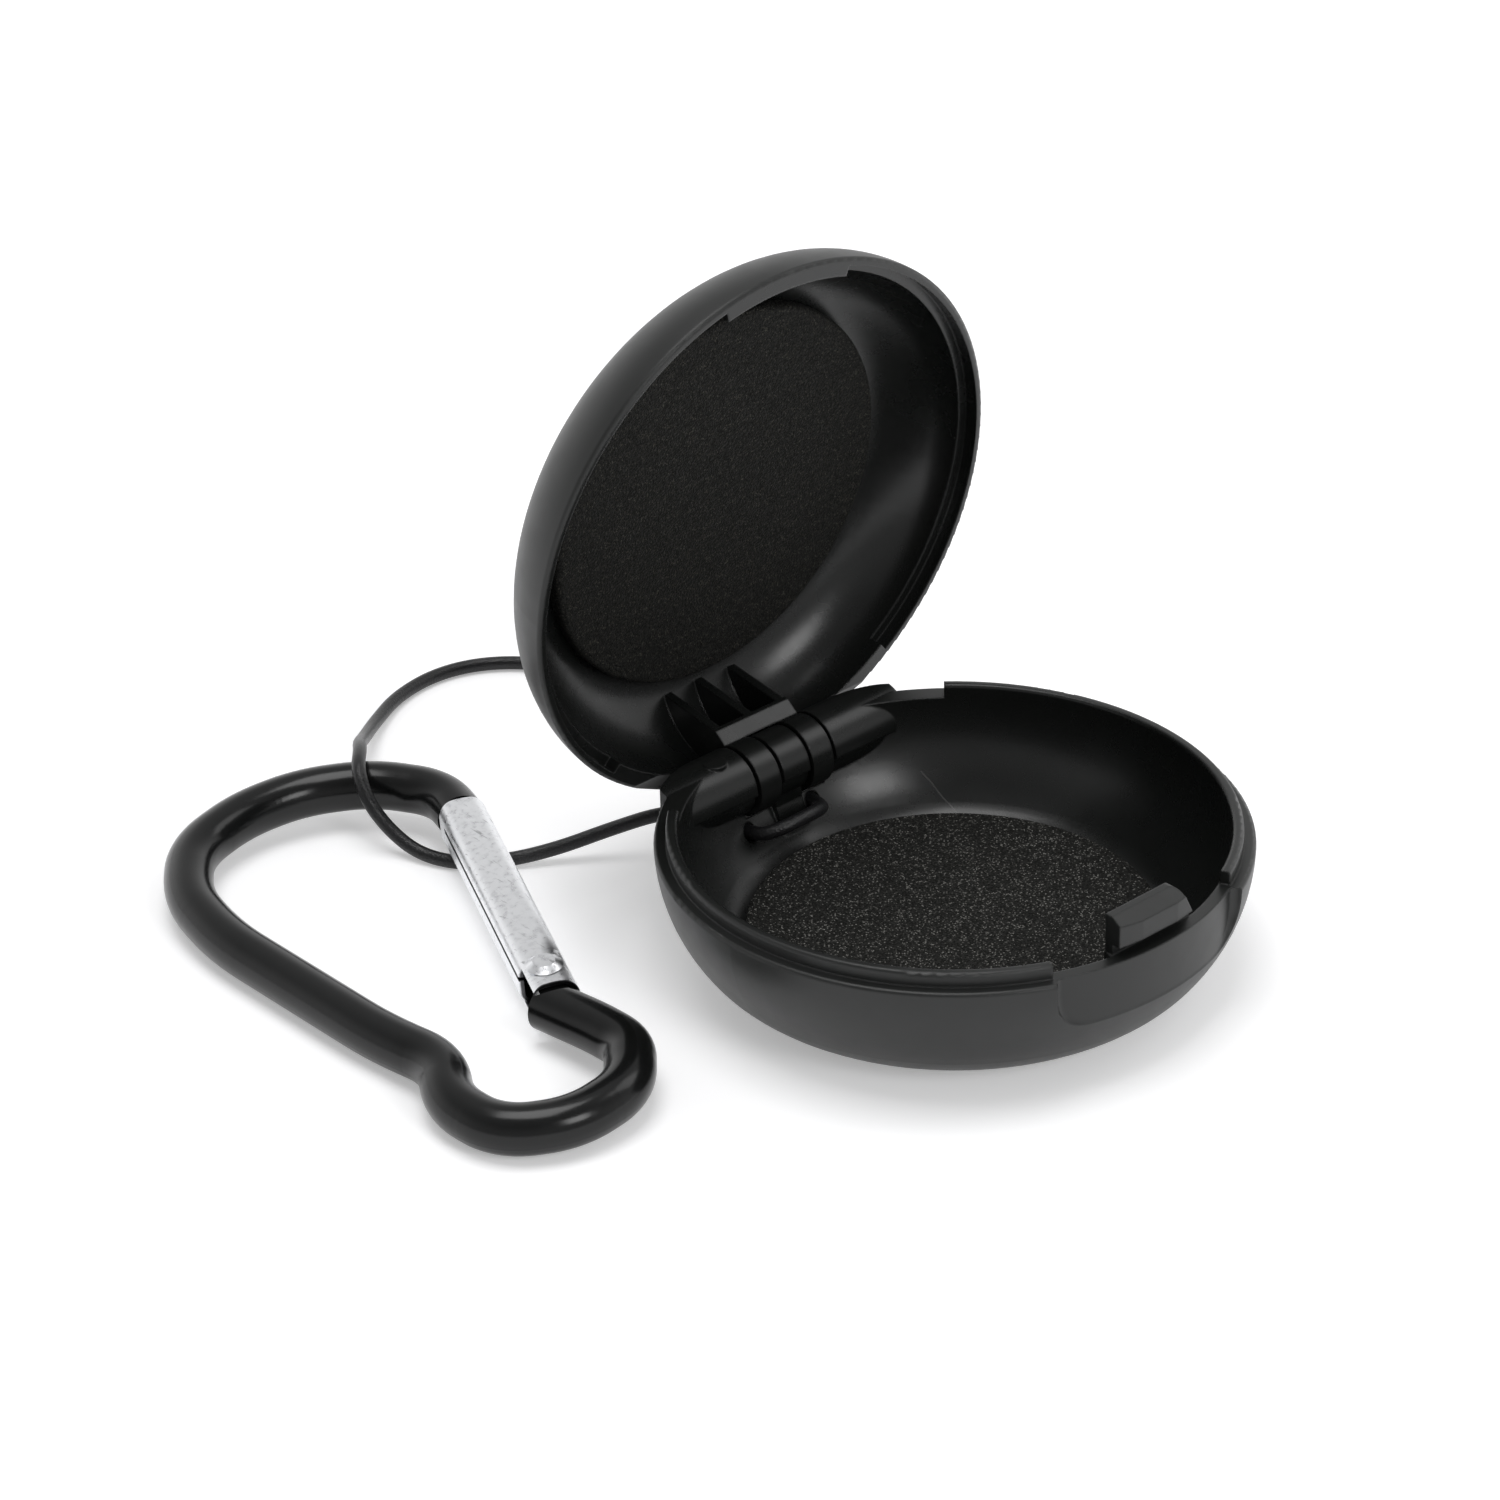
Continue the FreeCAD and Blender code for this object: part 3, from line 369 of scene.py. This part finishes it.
base_low, base_high = own_box("base_pad", Matrix.Identity(4))
foam_pad("base_foam", "base_pad", Vector((0, 0, base_low.z)), Vector((0, 0, base_high.z)),
         base_high.x, "base", open_cell_foam("base_foam_cells", BASE_PAINTED_GLINT))

lid_low, lid_high = own_box("lid_pad", lid_swing)
foam_pad("lid_foam", "lid_pad", lid_swing @ Vector((0, 0, lid_high.z)),
         lid_swing @ Vector((0, 0, lid_low.z)), lid_high.x - LID_PAD_EASE, "lid",
         open_cell_foam("lid_foam_cells", LID_PAINTED_GLINT))


# Hinge pin
# A plain steel pin, drawn bright and cut to length. It is pressed into the base's outer knuckles,
# and the lid's two knuckles turn on it.

STEEL_DIM = (0.496, 0.496, 0.504)
STEEL_BRIGHT = (0.62, 0.62, 0.63)
STEEL_GLOSS = (0.24, 0.38)
DRAW_SCALE = 700.0
DRAW_STRETCH = (0.15, 1.0, 1.0)


def drawn_steel():
    """Bright steel with fine streaks along the way it was drawn."""
    material, tree, shader = new_material("pin_steel")
    streak = noise(tree, DRAW_SCALE, 5.0, object_point(tree, DRAW_STRETCH))
    feed(tree, shader.inputs["Base Color"],
         shades(tree, streak, CLOUD_STOPS, STEEL_DIM, STEEL_BRIGHT))
    feed(tree, shader.inputs["Roughness"], spread(tree, streak, *STEEL_GLOSS))
    feed(tree, shader.inputs["Metallic"], 1.0)
    return material


steel = drawn_steel()
dress("hinge_pin", steel)


# Carabiner
# The frame is bent from round aluminium wire and dyed black. The gate is folded from bright
# sheet into a tube with a seam, closes on the wire's nose and turns on a round-headed rivet. A
# small coil inside it pushes it out.

WIRE_DARK = (0.0040, 0.0043, 0.0042)
WIRE_LIGHT = (0.0066, 0.0069, 0.0070)
WIRE_SHINE = 0.36
WIRE_GLOSS = (0.16, 0.24)
BEND_SCALE = 160.0
WIRE_SCUFF_SCALE = 900.0
DYE_SCALE = 2600.0
DYE_DEPTH = 0.00001
DYE_STRENGTH = 0.3
SHEET_GREY = (0.78, 0.79, 0.81)
SHEET_BRIGHT = (0.92, 0.93, 0.95)
SHEET_GLOSS = (0.16, 0.48)
FLAKE_SCALE = 1500.0
FLAKE_STOPS = (0.34, 0.50)
STREAK_SCALE = 2300.0
STREAK_STRETCH = (1.0, 0.16, 1.0)
STREAK_STOPS = (0.62, 0.72)
STREAK_GRIME = 0.5
STREAK_DEPTH = 0.00003
STREAK_STRENGTH = 0.4
DENT_SCALE = 260.0
DENT_DEPTH = 0.00012
DENT_STRENGTH = 0.5
GATE_TURN = math.radians(-24.4)
GATE_REACH = 0.0330
GATE_ROUND = 0.0015
# Painted shade inside the folded tube: none at the skin's depth, full at the fold's depth.
SKIN_DEPTH = 0.00006
FOLD_DEPTH = 0.00020
# One dark colour for the scuffs, the dirt and the painted shade.
SHEET_DIRT_AND_SHADE = (0.10, 0.10, 0.105)
# Painted shade along the seam: where its band lies, how far it spreads and how dark it is.
SEAM_PLACE = Vector((-0.0025, 0.0133, 0.00075))
SEAM_SPREAD = Vector((0.0006, 0.0170, 0.00030))
SEAM_SHADE = 0.9
# Round the rivet's head: painted shade with dirt, in patches.
RIVET_DIRT_AND_SHADE_PLACE = Vector((0.0018, 0.0011, 0.0023))
RIVET_DIRT_AND_SHADE_SPREAD = Vector((0.0016, 0.0042, 0.0007))
RIVET_DIRT_AND_SHADE_FADE = (0.4, 1.0)
RIVET_DIRT_AND_SHADE_MOST = 0.85
PATCH_SCALE = 560.0
PATCH_STOPS = (0.40, 0.47)

rivet_low, rivet_high = (Vector(corner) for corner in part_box("gate_rivet"))
rivet_heart = (rivet_low + rivet_high) / 2
gate_axis = Vector(joints["gate_hinge"]["axis"])
gate_lie = (Vector((0, 0, 1)).rotation_difference(gate_axis).to_matrix()
            @ Matrix.Rotation(GATE_TURN, 3, "Z"))
gate_low, gate_high = own_box("carabiner_gate",
                              Matrix.Translation(rivet_heart) @ gate_lie.to_4x4())


def gate_point(tree):
    """A place in the gate's own axes: across it, along it from the rivet, and up."""
    place = add_node(tree, "ShaderNodeTexCoord").outputs["Object"]
    return add_node(tree, "ShaderNodeMapping", vector_type="TEXTURE", Vector=place,
                    Location=rivet_heart, Rotation=gate_lie.to_euler()).outputs["Vector"]


def shade_inside_fold(tree, place):
    """One for painted shade on the sheet's faces inside the seam and tube, nothing outside and on
    its ends.
    """
    middle = Vector((0, (gate_low.y + GATE_REACH) / 2, 0))
    half = vector_maths(tree, "ABSOLUTE", vector_maths(tree, "SUBTRACT", place, middle))
    flats = Vector((gate_high.x - GATE_ROUND, 0, gate_high.z - GATE_ROUND))
    corner = vector_maths(tree, "MAXIMUM", vector_maths(tree, "SUBTRACT", half, flats), (0, 0, 0))
    reach = vector_maths(tree, "LENGTH", vector_maths(tree, "MULTIPLY", corner, (1, 0, 1)))
    depth = spread(tree, reach, 0.0, 1.0, GATE_ROUND - SKIN_DEPTH, GATE_ROUND - FOLD_DEPTH)
    along = add_node(tree, "ShaderNodeSeparateXYZ", Vector=half).outputs["Y"]
    between_ends = maths(tree, "LESS_THAN", along, (GATE_REACH - gate_low.y) / 2 - SKIN_DEPTH)
    return maths(tree, "MULTIPLY", depth, between_ends)


def seam_shade(tree, place):
    """Painted shade: a dark band on the sheet's two edges along the seam."""
    offset = vector_maths(tree, "SUBTRACT", place, SEAM_PLACE)
    reach = vector_maths(tree, "ABSOLUTE", vector_maths(tree, "DIVIDE", offset, SEAM_SPREAD))
    split = add_node(tree, "ShaderNodeSeparateXYZ", Vector=reach).outputs
    farthest = maths(tree, "MAXIMUM", split["X"], maths(tree, "MAXIMUM", split["Y"], split["Z"]))
    return maths(tree, "MULTIPLY", maths(tree, "LESS_THAN", farthest, 1.0), SEAM_SHADE)


def rivet_dirt_and_shade(tree, place):
    """Patchy darkening round the rivet's head at the gate's edge: painted shade, with dirt."""
    offset = vector_maths(tree, "SUBTRACT", place, RIVET_DIRT_AND_SHADE_PLACE)
    reach = vector_maths(tree, "LENGTH", vector_maths(tree, "DIVIDE", offset, RIVET_DIRT_AND_SHADE_SPREAD))
    closeness = spread(tree, reach, RIVET_DIRT_AND_SHADE_MOST, 0.0, *RIVET_DIRT_AND_SHADE_FADE)
    patch = spread(tree, noise(tree, PATCH_SCALE, 5.0), 0.0, 1.0, *PATCH_STOPS)
    return maths(tree, "MULTIPLY", closeness, patch)


def dyed_wire():
    """Black dyed aluminium: deep and glossy, with faint waves from the bending."""
    material, tree, shader = new_material("black_anodised")
    feed(tree, shader.inputs["Base Color"],
         shades(tree, noise(tree, BEND_SCALE, 4.0), CLOUD_STOPS, WIRE_DARK, WIRE_LIGHT))
    feed(tree, shader.inputs["Roughness"],
         spread(tree, noise(tree, WIRE_SCUFF_SCALE, 5.0), *WIRE_GLOSS))
    feed(tree, shader.inputs["Specular IOR Level"], WIRE_SHINE)
    feed(tree, shader.inputs["Normal"],
         bump(tree, noise(tree, DYE_SCALE, 3.0), DYE_DEPTH, DYE_STRENGTH))
    return material


def bright_sheet():
    """Bright plated sheet: fine flakes, long scuffs along it and painted shade in its fold, seam
    and round the rivet.
    """
    material, tree, shader = new_material("gate_sheet")
    flakes = noise(tree, FLAKE_SCALE, 6.0)
    streaks = noise(tree, STREAK_SCALE, 4.0, object_point(tree, STREAK_STRETCH))
    metal = shades(tree, flakes, FLAKE_STOPS, SHEET_GREY, SHEET_BRIGHT)
    place = gate_point(tree)
    scuffs = spread(tree, streaks, 0.0, STREAK_GRIME, *STREAK_STOPS)
    # Scuffs and dirt, with painted shade inside the fold, along the seam and round the rivet's
    # head.
    dirt_and_shade = maths(tree, "MAXIMUM", rivet_dirt_and_shade(tree, place), scuffs)
    for painted_shade in (shade_inside_fold(tree, place), seam_shade(tree, place)):
        dirt_and_shade = maths(tree, "MAXIMUM", dirt_and_shade, painted_shade)
    feed(tree, shader.inputs["Base Color"],
         mixed(tree, "Color", dirt_and_shade, metal, (*SHEET_DIRT_AND_SHADE, 1)))
    feed(tree, shader.inputs["Roughness"], spread(tree, flakes, *SHEET_GLOSS))
    feed(tree, shader.inputs["Metallic"], 1.0)
    streak_bump = bump(tree, streaks, STREAK_DEPTH, STREAK_STRENGTH)
    feed(tree, shader.inputs["Normal"],
         bump(tree, noise(tree, DENT_SCALE, 2.0), DENT_DEPTH, DENT_STRENGTH, streak_bump))
    return material


dress("carabiner_frame", dyed_wire())
gate_metal = bright_sheet()
dress("carabiner_gate", gate_metal)
dress("gate_rivet", gate_metal)
dress("gate_spring", steel)


# Cord
# One thin black woven cord. It leaves the left hole in the case's back wall, turns round the
# carabiner's wire, lies on the floor behind the case and goes in at the right hole. A short
# stretch inside, in front of the middle knuckle, joins its ends.

MM_PER_METRE = 1000
CORD_DIAMETER = 0.0015
CORD_ROUTE = (
    (-5.6, 26.2, 5.5), (-5.6, 30.6, 5.5), (-8.5, 34.8, 4.8), (-12.8, 37.8, 3.4),
    (-18.0, 41.2, 1.5), (-22.6, 44.0, 0.77), (-26.4, 46.9, 0.77), (-28.2, 51.2, 0.8),
    (-29.2, 54.8, 2.5), (-30.2, 57.2, 5.6), (-29.4, 59.6, 8.1), (-26.4, 63.0, 8.0),
    (-23.9, 66.6, 6.2), (-20.2, 71.0, 3.4), (-15.0, 76.0, 1.3), (-8.5, 80.0, 0.8),
    (-1.6, 80.9, 0.8), (4.4, 78.4, 0.8), (9.0, 72.6, 0.8), (12.1, 65.2, 0.8),
    (14.0, 56.4, 0.9), (13.2, 47.4, 1.8), (9.4, 39.6, 3.6), (4.8, 34.4, 5.0),
    (3.6, 30.4, 5.5), (3.6, 26.2, 5.5),
)
BIGHT_ROUTE = (
    (3.6, 26.2, 5.5), (3.6, 23.4, 5.5), (2.0, 22.0, 6.3), (-0.8, 21.5, 6.6),
    (-3.6, 21.8, 6.3), (-5.6, 23.4, 5.5), (-5.6, 26.2, 5.5),
)
CORD_SIDES = 6
CORD_STEPS = 16
CORD_DARK = (0.006, 0.006, 0.0065)
CORD_LIGHT = (0.014, 0.014, 0.015)
CORD_GLOSS = 0.36
CORD_SHINE = 0.4
WEAVE_SCALE = 5200.0
WEAVE_STOPS = (0.1, 0.8)
WEAVE_DEPTH = 0.00006
WEAVE_STRENGTH = 0.6


def woven_cord():
    """Fine black braid with a slight sheen on each strand."""
    material, tree, shader = new_material("woven_cord")
    weave = add_node(tree, "ShaderNodeTexVoronoi", Vector=object_point(tree),
                     Scale=WEAVE_SCALE).outputs["Distance"]
    feed(tree, shader.inputs["Base Color"],
         shades(tree, weave, WEAVE_STOPS, CORD_DARK, CORD_LIGHT))
    feed(tree, shader.inputs["Roughness"], CORD_GLOSS)
    feed(tree, shader.inputs["Specular IOR Level"], CORD_SHINE)
    feed(tree, shader.inputs["Normal"], bump(tree, weave, WEAVE_DEPTH, WEAVE_STRENGTH))
    return material


cord_material = woven_cord()


def cord_piece(name, route, node_name):
    """A stretch of cord on one smooth line that a route's points draw."""
    data = bpy.data.curves.new(name, "CURVE")
    data.dimensions = "3D"
    data.bevel_depth = CORD_DIAMETER / 2
    data.bevel_resolution = CORD_SIDES
    data.resolution_u = CORD_STEPS
    data.use_fill_caps = True
    line = data.splines.new("NURBS")
    line.points.add(len(route) - 1)
    for point, place in zip(line.points, route):
        point.co = (*(part / MM_PER_METRE for part in place), 1)
    line.order_u = 3
    line.use_endpoint_u = True
    data.materials.append(cord_material)
    piece = bpy.data.objects.new(name, data)
    bpy.context.collection.objects.link(piece)
    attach(piece, "base")
    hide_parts(node_name)
    return piece


bight = cord_piece("cord_inside", BIGHT_ROUTE, "cord_bight")
loop = cord_piece("cord_loop", CORD_ROUTE, "cord")


# Floor and light
# A flat pale floor in a white room that is a little dimmer in front and overhead. One large soft
# light hangs above the object, and two smaller ones stand in front of it and at its right.

FLOOR_HALF = 4.0
FLOOR_COLOUR = (0.90, 0.90, 0.91)
FLOOR_GLOSS = 0.6
FLOOR_SHINE = 0.2
FLOOR_LIFT = 0.32
FLOOR_FAR_LIFT = 0.62
FLOOR_REACH = (0.35, 1.6)
WHITE = (1, 1, 1, 1)
BACKDROP = Vector((0.62, 0.70, 0))
BACKDROP_TURN = (-0.7, 0.5)
ROOM_FRONT = 0.42
ROOM_RISE = (0.30, 0.62)
ROOM_TOP = 0.50


def seen_or_mirrored(tree):
    """One for what the camera, a gloss or a clear piece sees, nothing for plain light."""
    path = add_node(tree, "ShaderNodeLightPath").outputs
    seen = maths(tree, "MAXIMUM", path["Is Camera Ray"], path["Is Glossy Ray"])
    return maths(tree, "MAXIMUM", seen, path["Is Transmission Ray"])


def pale_floor():
    """The floor's finish, lifted a little so that the object's shadow on it stays soft."""
    material, tree, shader = new_material("pale_floor")
    feed(tree, shader.inputs["Base Color"], (*FLOOR_COLOUR, 1))
    feed(tree, shader.inputs["Roughness"], FLOOR_GLOSS)
    feed(tree, shader.inputs["Specular IOR Level"], FLOOR_SHINE)
    feed(tree, shader.inputs["Emission Color"], WHITE)
    reach = vector_maths(tree, "LENGTH", object_point(tree))
    lift = spread(tree, reach, FLOOR_LIFT, FLOOR_FAR_LIFT, *FLOOR_REACH)
    feed(tree, shader.inputs["Emission Strength"],
         maths(tree, "MULTIPLY", seen_or_mirrored(tree), lift))
    return material


def stage_floor():
    """The flat floor itself."""
    corners = [(-FLOOR_HALF, -FLOOR_HALF, 0), (FLOOR_HALF, -FLOOR_HALF, 0),
               (FLOOR_HALF, FLOOR_HALF, 0), (-FLOOR_HALF, FLOOR_HALF, 0)]
    data = bpy.data.meshes.new("floor")
    data.from_pydata(corners, [], [(0, 1, 2, 3)])
    data.materials.append(pale_floor())
    floor = bpy.data.objects.new("floor", data)
    bpy.context.collection.objects.link(floor)


def white_room():
    """A white room around the scene, brightest behind the object and near the floor."""
    world = bpy.data.worlds.new("studio")
    bpy.context.scene.world = world
    world.use_nodes = True
    room = world.node_tree
    heading = add_node(room, "ShaderNodeTexCoord").outputs["Generated"]
    height = add_node(room, "ShaderNodeSeparateXYZ", Vector=heading).outputs["Z"]
    toward = vector_maths(room, "DOT_PRODUCT", heading, BACKDROP.normalized())
    behind = spread(room, toward, ROOM_FRONT, 1.0, *BACKDROP_TURN)
    rise = spread(room, height, 1.0, ROOM_TOP, *ROOM_RISE)
    sky = room.nodes["Background"]
    feed(room, sky.inputs["Color"], WHITE)
    feed(room, sky.inputs["Strength"], maths(room, "MULTIPLY", behind, rise))


def soft_light(name, place, aim, width, power):
    """A square soft box."""
    data = bpy.data.lights.new(name, "AREA")
    data.shape = "SQUARE"
    data.size = width
    data.energy = power
    light = bpy.data.objects.new(name, data)
    light.location = place
    light.rotation_euler = (Vector(aim) - Vector(place)).to_track_quat("-Z", "Y").to_euler()
    bpy.context.collection.objects.link(light)


stage_floor()
white_room()
soft_light("overhead", place=(-0.05, 0.10, 0.95), aim=(0, 0, 0), width=0.55, power=3.8)
soft_light("front", place=(-0.05, -0.85, 0.60), aim=(0, 0, 0.02), width=0.36, power=2.5)
soft_light("right", place=(0.64, -0.24, 0.70), aim=(0, 0, 0.02), width=0.42, power=0.9)


# Camera
# A long lens at the photograph's angle and height, looking at the middle of the object. It leans
# by about a degree and a half, as the photograph does.

CAMERA_TURN = -0.720
CAMERA_RISE = 0.518
CAMERA_LEAN = -0.025
CAMERA_REACH = 0.45376
CAMERA_AIM = Vector((-0.016969, 0.011185, 0.025309))
SENSOR_WIDTH = 36.0
FRAME_PIXELS = 1500
FOCAL_PIXELS = 4634.4

back = Vector((math.sin(CAMERA_TURN) * math.cos(CAMERA_RISE),
               -math.cos(CAMERA_TURN) * math.cos(CAMERA_RISE), math.sin(CAMERA_RISE)))
level = (-back).cross(Vector((0, 0, 1))).normalized()
upright = level.cross(-back)
right = level * math.cos(CAMERA_LEAN) + upright * math.sin(CAMERA_LEAN)
up = upright * math.cos(CAMERA_LEAN) - level * math.sin(CAMERA_LEAN)
lens = bpy.data.cameras.new("camera")
lens.sensor_width = SENSOR_WIDTH
lens.lens = FOCAL_PIXELS / FRAME_PIXELS * SENSOR_WIDTH
lens.clip_start = 0.01
camera = bpy.data.objects.new("camera", lens)
camera.matrix_world = (Matrix.Translation(CAMERA_AIM + back * CAMERA_REACH)
                       @ Matrix((right, up, back)).transposed().to_4x4())
bpy.context.collection.objects.link(camera)
bpy.context.scene.camera = camera
bpy.context.scene.view_settings.view_transform = "Standard"
